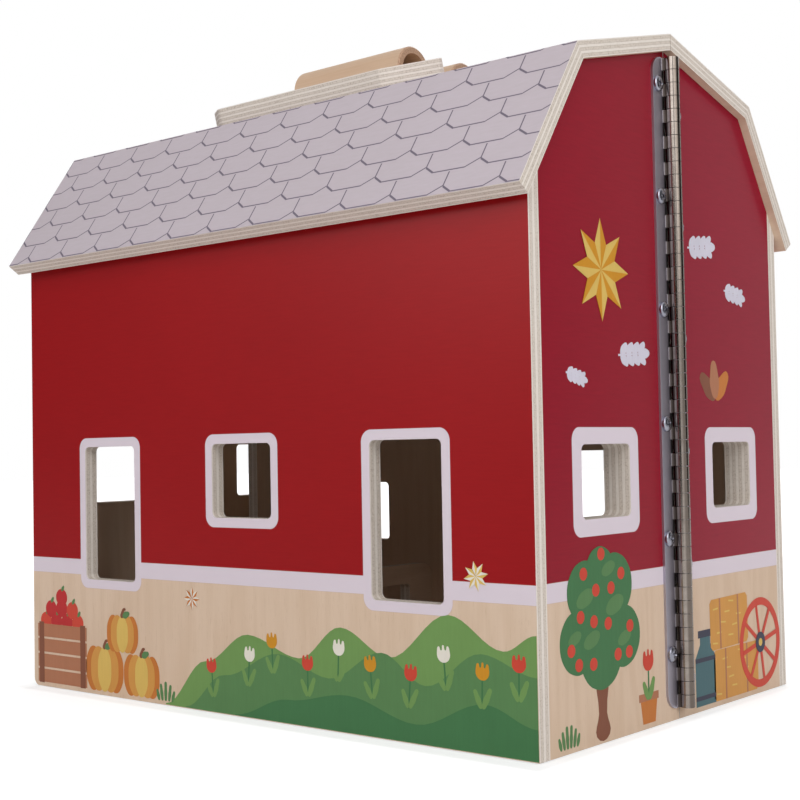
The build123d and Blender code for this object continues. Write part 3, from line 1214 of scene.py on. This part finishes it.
def sprig(length: float) -> Drawing:
    """A white sprig of leaves that lies along the wall.

    Args:
        length: of its stem and last leaf.

    Returns:
        The sprig, its middle on the origin.
    """
    stem = ((-length / 2, -0.5), (length * 0.36, -0.4), (length * 0.36, 0.4), (-length / 2, 0.5))
    pairs = [leaf(length * 0.3, length * 0.2, Ink.WHITE, length * (0.2 * i - 0.42), 0, turn)
             for i in range(4) for turn in (-50, -130)]
    return [Patch(stem, Ink.WHITE, smooth=False), *pairs,
            leaf(length * 0.26, length * 0.2, Ink.WHITE, length * 0.3, 0, -90)]


def tulip(height: float, ink: Colour, lean: float = 0.0) -> Drawing:
    """A tulip with two leaves.

    Args:
        height: of its stem.
        ink: of its flower.
        lean: to the left, in degrees.

    Returns:
        The tulip, standing on the origin.
    """
    head = Patch(((0, 0), (3.1, 1.6), (3.6, 5.2), (2.5, 7.4), (1.2, 5.4), (0, 8.0), (-1.2, 5.4),
                  (-2.5, 7.4), (-3.6, 5.2), (-3.1, 1.6)), ink)
    return moved([
        bar(0.9, height, Ink.DEEP_LEAF),
        leaf(height * 0.8, 3.4, Ink.PALE_LEAF, 0.4, 0, -24),
        leaf(height * 0.7, 3.2, Ink.PALE_LEAF, -0.4, 0, 26),
        head.moved(0, height - 0.5),
    ], 0, 0, turn=lean)


def pumpkin(width: float) -> Drawing:
    """A ribbed pumpkin.

    Args:
        width: over its lobes.

    Returns:
        The pumpkin, standing on the origin.
    """
    height = width * 0.76
    lobes = ((-0.3, 0.4, Ink.RUST), (0.3, 0.4, Ink.RUST), (-0.16, 0.42, Ink.PUMPKIN),
             (0.16, 0.42, Ink.PUMPKIN), (0.0, 0.36, Ink.STRAW))
    stem = ((-1.2, 0), (1.2, 0), (1.9, 3.4), (3.2, 4.6), (1.4, 5.2), (-0.2, 3.6))
    return [*(blot(width * share, height, ink, width * shift, height / 2)
              for shift, share, ink in lobes),
            Patch(stem, Ink.BARK).moved(0, height - 1.0),
            leaf(6.2, 4.2, Ink.LEAF, 0.6, height - 0.6, -68)]


def apple_crate(width: float = 46.0) -> Drawing:
    """A slatted crate heaped with apples.

    Args:
        width: of its slats.

    Returns:
        The crate, standing on the origin.
    """
    apples = ((-15, 36), (-5, 36), (5, 36), (15, 36), (-10, 43), (0, 43.6), (10, 43), (0, 50))
    drawing = []
    for i, (u, v) in enumerate(apples):
        drawing += [blot(10.4, 9.8, Ink.APPLE if i % 3 else Ink.POPPY, u, v),
                    leaf(4.0, 2.4, Ink.LEAF, u, v + 3.6, -35)]
    drawing += [bar(width, 7.6, Ink.TIMBER, 0, row * 8.8) for row in range(4)]
    return drawing + [bar(4.6, 35.4, Ink.BARK, side * (width / 2 - 3.6), -0.4)
                      for side in (-1, 1)]


def apple_tree() -> Drawing:
    """A broad-crowned apple tree.

    Returns:
        The tree, standing 86 mm tall on the origin.
    """
    trunk = ((-5.4, 0), (5.4, 0), (3.4, 10), (3.2, 30), (-3.2, 30), (-3.4, 10))
    crown = ((0, 38, 36), (-19, 44, 30), (19, 43, 30), (0, 54, 40), (-13, 66, 29), (12, 67, 31),
             (0, 74, 24))
    lights = ((-13, 63, 15), (12, 58, 16), (-8, 44, 14), (7, 75, 12), (20, 42, 12),
              (-22, 46, 11))
    apples = ((-25, 41), (-17, 55), (-4, 66), (9, 66), (18, 72), (-14, 74), (1, 82), (25, 47),
              (6, 50), (-6, 52), (14, 35), (-7, 33), (24, 35), (-19, 34))
    return [Patch(trunk, Ink.BARK),
            *(Patch(ring(size, size * 0.96, 10), Ink.DEEP_LEAF).moved(u, v)
              for u, v, size in crown),
            *(blot(size, size * 0.5, Ink.LEAF, u, v, 18) for u, v, size in lights),
            *(blot(6.2, 5.8, Ink.POPPY, u, v) for u, v in apples)]


def wagon_wheel(radius: float = 24.0) -> Drawing:
    """A spoked wagon wheel.

    Args:
        radius: of its rim.

    Returns:
        The wheel about the origin.
    """
    rim = Patch(ring(2 * radius, 2 * radius, 16), Ink.POPPY,
                hole=ring(1.66 * radius, 1.66 * radius, 16))
    spokes = [bar(2.4, radius * 0.86, Ink.POPPY, turn=45 * i + 11) for i in range(8)]
    return [rim, *spokes, blot(11, 11, Ink.NAVY), blot(4.2, 4.2, Ink.STRAW)]


def hay_bale(width: float = 50.0) -> Drawing:
    """A tied bale of hay.

    Args:
        width: of the bale.

    Returns:
        The bale, standing on the origin.
    """
    half = width / 2
    body = ((-half, 2), (2 - half, 0), (half - 2, 0), (half, 2), (half, 24), (half - 2, 26),
            (2 - half, 26), (-half, 24))
    straws = [bar(5.5, 0.8, Ink.STRAW, 5 - half + (i * 17.3) % (width - 12), 3 + i * 2.5,
                  -6 + 3 * (i % 4)) for i in range(9)]
    return [Patch(body, Ink.PUMPKIN, smooth=False), *straws,
            *(bar(1.5, 26, Ink.TIMBER, share * width) for share in (-0.24, 0.24))]


def flower_pot() -> Drawing:
    """A pot with one poppy-red tulip, standing on the origin."""
    return [Patch(((-4.4, 0), (4.4, 0), (6, 9), (-6, 9)), Ink.RUST, smooth=False),
            bar(14, 2.8, Ink.TIMBER, 0, 8.2), *moved(tulip(11, Ink.POPPY), 0, 8.5)]


def milk_can() -> Drawing:
    """A milk can in navy and teal.

    Returns:
        The can, standing on the origin.
    """
    body = ((-7.5, 0), (7.5, 0), (7.5, 17), (3.8, 22), (3.8, 25), (-3.8, 25), (-3.8, 22),
            (-7.5, 17))
    return [Patch(body, Ink.TEAL, smooth=False), bar(10.4, 2.6, Ink.NAVY, 0, 24.4),
            bar(15, 1.6, Ink.NAVY, 0, 15.6), bar(15, 1.6, Ink.NAVY, 0, 2.0)]


def grass(width: float, blades: int) -> Drawing:
    """A tuft of grass standing on the origin."""
    fan = [(i + 0.5) / blades - 0.5 for i in range(blades)]
    return [leaf(7.5 + 3 * math.cos(5 * u), 2.6, Ink.LEAF, u * width, 0, -44 * u) for u in fan]


def hill(ink: Colour, tops: list[Point], steps: int = 8) -> Patch:
    """A low ridge.

    Args:
        ink: its colour.
        tops: its peaks and dips from left to right.
        steps: points from each to the next.

    Returns:
        The patch, cut square at its foot.
    """
    crest = []
    for (u0, v0), (u1, v1) in zip(tops, tops[1:]):
        for step in range(steps):
            share = step / steps
            ease = (1 - math.cos(math.pi * share)) / 2
            crest.append((u0 + (u1 - u0) * share, v0 + (v1 - v0) * ease))
    crest.append(tops[-1])
    return Patch(((tops[0][0], 0.4), *crest, (tops[-1][0], 0.4)), ink, smooth=False)


def in_bloom(stations: list[Point], height: float = 13.0) -> Drawing:
    """Tulips, their inks and leans in turn.

    Args:
        stations: their feet.
        height: of their stems.

    Returns:
        The tulips.
    """
    inks = (Ink.POPPY, Ink.CREAM, Ink.GOLD)
    drawing = []
    for i, (u, v) in enumerate(stations):
        drawing += moved(tulip(height, inks[i % 3], 5 * math.cos(2.6 * i)), u, v)
    return drawing


@dataclass(frozen=True)
class Motif:
    """A drawing printed on one wall, riding on that wall's body."""

    name: str
    wall: Wall
    body: str
    drawing: Drawing

    lift: float = 0.04
    layer_step: float = 0.018
    half_film: float = 0.03
    resolution: int = 4
    weld: float = 0.0005

    def build(self, material: bpy.types.Material) -> None:
        """Cuts the patches as flat curves, makes them one mesh and sets it on the wall.

        Args:
            material: the ink.
        """
        films = [self.film(patch, self.lift + layer * self.layer_step)
                 for patch, layer in zip(self.drawing, layers(self.drawing))]
        only(*films)
        bpy.ops.object.join()
        piece = films[0]
        piece.name = piece.data.name = self.name
        piece.data.transform(self.wall.matrix())
        piece.data.materials.clear()
        piece.data.materials.append(material)
        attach(piece, self.body)
        log.info("%s: %d patches of ink", self.name, len(self.drawing))

    def film(self, patch: Patch, height: float) -> bpy.types.Object:
        """One patch as a thin closed mesh that carries its ink.

        Args:
            patch: the patch.
            height: of its middle above the wall.

        Returns:
            The mesh object, in millimetres on the drawing's plane.
        """
        curve = bpy.data.curves.new(self.name, "CURVE")
        curve.dimensions = "2D"
        curve.fill_mode = "BOTH"
        curve.resolution_u = self.resolution
        curve.extrude = self.half_film
        for outline in filter(None, (patch.outline, patch.hole)):
            self.add_outline(curve, outline, patch.smooth)
        film = bpy.data.objects.new(self.name, curve)
        bpy.context.scene.collection.objects.link(film)
        only(film)
        bpy.ops.object.convert(target="MESH")
        film = bpy.context.active_object
        film.data.transform(Matrix.Translation((0, 0, height)))
        bpy.ops.object.mode_set(mode="EDIT")
        bpy.ops.mesh.select_all(action="SELECT")
        bpy.ops.mesh.remove_doubles(threshold=self.weld)
        bpy.ops.mesh.normals_make_consistent(inside=False)
        bpy.ops.object.mode_set(mode="OBJECT")
        inks = film.data.color_attributes.new("ink", "FLOAT_COLOR", "CORNER")
        for corner in inks.data:
            corner.color = patch.ink
        return film

    @staticmethod
    def add_outline(curve: bpy.types.Curve, outline: Outline, smooth: bool) -> None:
        """Adds one closed outline to a flat curve.

        Args:
            curve: the curve.
            outline: its knots.
            smooth: whether it bends at them.
        """
        spline = curve.splines.new("BEZIER")
        spline.bezier_points.add(len(outline) - 1)
        for knot, (u, v) in zip(spline.bezier_points, outline):
            knot.co = (u, v, 0)
            knot.handle_left_type = knot.handle_right_type = "AUTO" if smooth else "VECTOR"
        spline.use_cyclic_u = True


def motif_ink() -> bpy.types.Material:
    """Printing ink that lets the grain show faintly.

    Returns:
        The material, which reads each patch's ink from the mesh.
    """
    shader = Shader("finish_motif_ink")
    ink = shader.node("ShaderNodeVertexColor", {"layer_name": "ink"}, {})
    grain = shader.noise((900, 900, 60), 3.0, 2.7)
    cloud = shader.noise(60, 2.0, 1.2)
    worn = (grain * 0.5 + cloud * 0.6 - 0.2).held() * 0.3
    return shader.finish(shader.mix(worn, ink, tone(150, 140, 130), "MULTIPLY"),
                         0.38 + grain * 0.12, grain, lift=0.01, Specular_IOR_Level=0.14)


def printed(wall: Wall, body: str, **drawings: Drawing) -> list[Motif]:
    """The motifs of one wall that ride on one body, by the names of their pieces."""
    return [Motif(name, wall, body, drawing) for name, drawing in drawings.items()]


def near_wall_motifs() -> list[Motif]:
    """The low pictures of the near long wall.

    Returns:
        Pumpkins, a crate of apples, a meadow and two stars.
    """
    heap = [*moved(pumpkin(33), -18, 0), *moved(pumpkin(30), 14, 0),
            *moved(pumpkin(27), -2, 23), *moved(grass(13, 5), 34, 0)]
    meadow = [
        hill(Ink.PALE_LEAF, [(-62, 1), (-30, 26), (2, 42), (38, 33), (66, 50), (96, 38),
                             (132, 60), (162, 46), (179.7, 54)]),
        hill(Ink.LEAF, [(-46, 1), (-16, 20), (24, 34), (58, 25), (92, 40), (118, 27), (150, 44),
                        (179.7, 36)]),
        hill(Ink.DEEP_LEAF, [(-8, 1), (30, 12), (70, 18), (112, 9), (152, 22), (179.7, 14)]),
        *in_bloom([(-24, 8), (2, 16), (20, 24), (44, 15), (64, 24), (86, 18), (108, 16),
                   (130, 26), (150, 20), (170, 25)])]
    return printed(
        Wall.NEAR, "near",
        near_wall_pumpkins=moved(heap, -96, 2),
        near_wall_crate=moved(apple_crate(), -153, 2.5),
        near_wall_meadow=meadow,
        near_wall_stars=[*moved(quilt_star(6.2, Ink.RUST, Ink.CREAM), -40, 58),
                         *moved(quilt_star(6.8, Ink.STRAW, Ink.CREAM), 148, 78, turn=11)])


def hinge_gable_motifs() -> list[Motif]:
    """The pictures of the hinge gable.

    Returns:
        Those of the near half, then those of the far half.
    """
    near = printed(
        Wall.HINGE, "near",
        near_gable_star=moved(quilt_star(24), -63, 216),
        near_gable_sprigs=[*moved(sprig(27), -36, 178, turn=4),
                           *moved(sprig(17), -86, 166, turn=-12)],
        near_gable_tree=[*moved(apple_tree(), -70, 3.4), *moved(grass(15, 6), -98, 2.2)],
        near_gable_pot=moved(flower_pot(), -29, 2.5, 1.3))
    far = printed(
        Wall.HINGE, "far",
        far_gable_sprigs=[*moved(sprig(28), 34, 236, turn=6),
                          *moved(sprig(23), 70, 214, turn=-8)],
        far_gable_leaves=[leaf(20, 11, ink, 46, 158, turn) for ink, turn in
                          ((Ink.BARK, 52), (Ink.RUST, -46), (Ink.TIMBER, 4))],
        far_gable_bales=[*moved(hay_bale(), 62, 2.5), *moved(hay_bale(42), 55, 29, turn=1),
                         *moved(wagon_wheel(), 90, 27)],
        far_gable_can=moved(milk_can(), 28, 2.5, 1.4))
    return near + far


def far_wall_motifs() -> list[Motif]:
    """The low pictures of the far long wall, beside the stable doors.

    Returns:
        A meadow and pumpkins.
    """
    heap = [*moved(pumpkin(26), -11, 0), *moved(pumpkin(24), 14, 0)]
    meadow = [
        hill(Ink.PALE_LEAF, [(-2, 1), (24, 40), (52, 26), (84, 48), (108, 34), (134, 54),
                             (166, 38), (179.7, 46)]),
        hill(Ink.LEAF, [(6, 1), (36, 26), (70, 36), (112, 22), (150, 38), (179.7, 28)]),
        *in_bloom([(22, 12), (48, 20), (92, 20), (118, 16), (144, 26), (166, 22)])]
    return printed(Wall.FAR, "far", far_wall_meadow=meadow,
                   far_wall_pumpkins=moved(heap, -146, 2.5))


def end_meadow(low: float, high: float, blooms: list[Point]) -> Drawing:
    """Two hills with tulips, for one half of the latch gable.

    Args:
        low, high: where the hills begin and end.
        blooms: the feet of the tulips.

    Returns:
        The meadow.
    """
    middle = (low + high) / 2
    return [hill(Ink.PALE_LEAF, [(low, 36), (middle, 52), (high, 34)]),
            hill(Ink.LEAF, [(low, 24), (middle - 14, 34), (middle + 22, 22), (high, 28)]),
            *in_bloom(blooms)]


def latch_gable_motifs() -> list[Motif]:
    """The pictures of the latch gable.

    Returns:
        The meadow of the near half, then the meadow and the star of the far half.
    """
    near = printed(Wall.LATCH, "near",
                   near_latch_meadow=end_meadow(1.5, 119, [(24, 14), (52, 18), (84, 12)]))
    far = printed(Wall.LATCH, "far",
                  far_latch_meadow=end_meadow(-119, -1.5, [(-92, 16), (-58, 14), (-26, 18)]),
                  far_latch_star=moved(quilt_star(20), -58, 214))
    return near + far


# ---- Stage ----


@dataclass(frozen=True)
class Paper:
    """The pale floor. It glows to the eye, less where the barn's shadow should show.

    The shares say how much of the glow shows, the rest being lit paper; the lengths are in
    millimetres.
    """

    size: float = 12.0
    drop: float = 0.4
    dark: float = 0.86
    pale: float = 0.88
    roughness: float = 0.9
    glow: float = 1.26
    under: float = 0.56
    beyond_from: float = 180.0
    beyond_over: float = 420.0
    front: float = 0.3
    front_skew: float = 0.5
    front_over: float = 400.0
    plinth: Point = (180.0, 125.0)
    contact: float = 0.46
    contact_from: float = 5.0
    contact_over: float = 8.0

    def lay(self) -> None:
        """Lays the floor just below the barn."""
        bpy.ops.object.select_all(action="DESELECT")
        bpy.ops.mesh.primitive_plane_add(size=self.size, location=(0, 0, -self.drop * MM))
        floor = bpy.context.active_object
        floor.name = "floor"
        shader = Shader("floor_paper")
        colour = shader.mix(shader.noise(4, 2.0), (self.dark,) * 3 + (1,), (self.pale,) * 3 + (1,))
        shader.finish(colour, self.roughness)
        paper = Value(shader, shader.surface.outputs[0])
        glow = shader.node("ShaderNodeEmission", {},
                           {"Color": (1, 1, 1, 1), "Strength": self.glow})
        mixed = shader.node("ShaderNodeMixShader", {},
                            {0: self.seen(shader) * self.share(shader), 1: paper, 2: glow})
        output = shader.tree.nodes["Material Output"]
        shader.tree.links.new(mixed.socket, output.inputs["Surface"])
        floor.data.materials.append(shader.material)

    @staticmethod
    def seen(shader: Shader) -> Value:
        """1 for rays from the camera, a mirror or clear glass."""
        eye, mirror, glass = (shader.node("ShaderNodeLightPath", {}, {}, i) for i in (0, 3, 6))
        return eye.larger(mirror).larger(glass)

    def share(self, shader: Shader) -> Value:
        """How much of the glow shows at a place: more further out, little at the plinth.

        Args:
            shader: the material being made.

        Returns:
            The share.
        """
        across, along = shader.along((1, 0, 0)), shader.along((0, 1, 0))
        reach = hypotenuse(across, along)
        beyond = ((reach - self.beyond_from) / self.beyond_over).held() * (1 - self.under)
        front = ((across * self.front_skew - along) / self.front_over).held() * self.front
        gap = (abs(across) - self.plinth[0]).larger(abs(along) - self.plinth[1])
        rise = ((gap - self.contact_from) / self.contact_over).held() * (1 - self.contact)
        return (beyond + front + self.under).held().smaller(rise + self.contact)


@dataclass(frozen=True)
class Lamp:
    """A square soft box: its place and side in metres, its power in watts."""

    name: str
    place: Axis
    size: float
    watts: float
    sheen_only: bool = False
    target: Axis = (0, 0, 0.15)

    def hang(self) -> None:
        """Hangs the lamp, turned to the barn."""
        data = bpy.data.lights.new(self.name, "AREA")
        data.shape, data.size, data.energy = "SQUARE", self.size, self.watts
        lamp = bpy.data.objects.new(self.name, data)
        bpy.context.scene.collection.objects.link(lamp)
        lamp.rotation_mode = "QUATERNION"
        lamp.location = self.place
        aim = Vector(self.target) - Vector(self.place)
        lamp.rotation_quaternion = aim.to_track_quat("-Z", "Y")
        lamp.visible_diffuse = not self.sheen_only


@dataclass(frozen=True)
class Flag:
    """A dark card that only polished surfaces show: its bearing in degrees, its width."""

    name: str
    bearing: float
    width: float
    height: float = 1.5
    centre: float = 0.18
    reach: float = 1.9
    up: float = 0.75
    felt: Colour = tone(14, 13, 13)
    worn_felt: Colour = tone(30, 28, 28)

    def stand(self) -> None:
        """Stands the card upright, square to the hinge."""
        turned = math.radians(self.bearing)
        place = (self.centre + self.reach * math.cos(turned), self.reach * math.sin(turned),
                 self.up)
        bpy.ops.object.select_all(action="DESELECT")
        bpy.ops.mesh.primitive_plane_add(size=1, location=place,
                                         rotation=(math.pi / 2, 0, turned + math.pi / 2))
        card = bpy.context.active_object
        card.name = self.name
        card.scale = (self.width, self.height, 1)
        shader = Shader("felt_" + self.name)
        felt = shader.mix(shader.noise(900, 2.0), self.felt, self.worn_felt)
        card.data.materials.append(shader.finish(felt, 0.9, Specular_IOR_Level=0.0))
        card.visible_camera = card.visible_diffuse = card.visible_shadow = False
        card.visible_transmission = False


@dataclass(frozen=True)
class Studio:
    """The camera, the light, the floor and the dark cards."""

    eye: Axis = (0.52231, -0.61596, 0.13458)
    yaw: float = math.radians(40.067)
    pitch: float = math.radians(2.035)
    roll: float = math.radians(-1.055)
    lens: float = 62.86
    sensor: float = 36.0
    clip: Point = (0.01, 50.0)
    sky: float = 0.36
    lamps: tuple[Lamp, ...] = (Lamp("key", (0.5, -1.45, 1.15), 1.2, 13.5),
                               Lamp("side", (1.6, -0.45, 0.9), 1.1, 9.6),
                               Lamp("back", (-0.5, 1.6, 1.2), 1.4, 19),
                               Lamp("sheen", (-0.5, -1.3, 0.7), 0.7, 13, sheen_only=True))
    flags: tuple[Flag, ...] = (Flag("left_flag", -82.0, 1.3), Flag("back_flag", 118.0, 2.3),
                               Flag("side_flag", 36.0, 1.1), Flag("end_flag", -160.0, 1.2))

    def camera(self) -> None:
        """Sets the camera, level but for its small pitch and roll."""
        ahead = Vector((-math.sin(self.yaw) * math.cos(self.pitch),
                        math.cos(self.yaw) * math.cos(self.pitch), math.sin(self.pitch)))
        right = Vector((math.cos(self.yaw), math.sin(self.yaw), 0))
        up = right.cross(ahead)
        turned_right = math.cos(self.roll) * right + math.sin(self.roll) * up
        turned_up = math.cos(self.roll) * up - math.sin(self.roll) * right
        lens = bpy.data.cameras.new("camera")
        lens.lens, lens.sensor_width = self.lens, self.sensor
        lens.clip_start, lens.clip_end = self.clip
        camera = bpy.data.objects.new("camera", lens)
        bpy.context.scene.collection.objects.link(camera)
        axes = Matrix((turned_right, turned_up, -ahead)).transposed().to_4x4()
        camera.matrix_world = Matrix.Translation(self.eye) @ axes
        bpy.context.scene.camera = camera

    def surround(self) -> None:
        """Lights the scene from all sides, with plain white for the eye and for mirrors."""
        world = bpy.data.worlds.new("surround")
        bpy.context.scene.world = world
        world.use_nodes = True
        tree = world.node_tree
        tree.nodes.clear()
        path, either, seen, lamp, backdrop, mix, output = (
            tree.nodes.new("ShaderNode" + kind) for kind in (
                "LightPath", "Math", "Math", "Background", "Background", "MixShader",
                "OutputWorld"))
        either.operation = seen.operation = "MAXIMUM"
        for shade, strength in ((lamp, self.sky), (backdrop, 1.0)):
            shade.inputs["Color"].default_value = (1, 1, 1, 1)
            shade.inputs["Strength"].default_value = strength
        for source, name, target, socket in (
                (path, "Is Glossy Ray", either, 0), (path, "Is Transmission Ray", either, 1),
                (path, "Is Camera Ray", seen, 0), (either, 0, seen, 1), (seen, 0, mix, 0),
                (lamp, 0, mix, 1), (backdrop, 0, mix, 2), (mix, 0, output, "Surface")):
            tree.links.new(source.outputs[name], target.inputs[socket])

    def set_up(self) -> None:
        """Sets camera, floor, light and the plain view transform."""
        bpy.context.scene.view_settings.view_transform = "Standard"
        self.camera()
        Paper().lay()
        self.surround()
        for lamp in self.lamps:
            lamp.hang()
        for flag in self.flags:
            flag.stand()


def main() -> None:
    """Dresses the barn, adds its small pieces and sets the stage."""
    logging.basicConfig(level=logging.INFO, format="%(name)s: %(message)s")
    Studio().set_up()
    Shell().dress()
    StableDoors().dress()
    for node in ("near_handle_grip", "far_handle_grip"):
        Bentwood().dress(node)
    Hardware().dress()
    HingeScrews().build()
    ink = motif_ink()
    for motif in (*near_wall_motifs(), *hinge_gable_motifs(), *far_wall_motifs(),
                  *latch_gable_motifs()):
        motif.build(ink)


if __name__ == "__main__":
    main()
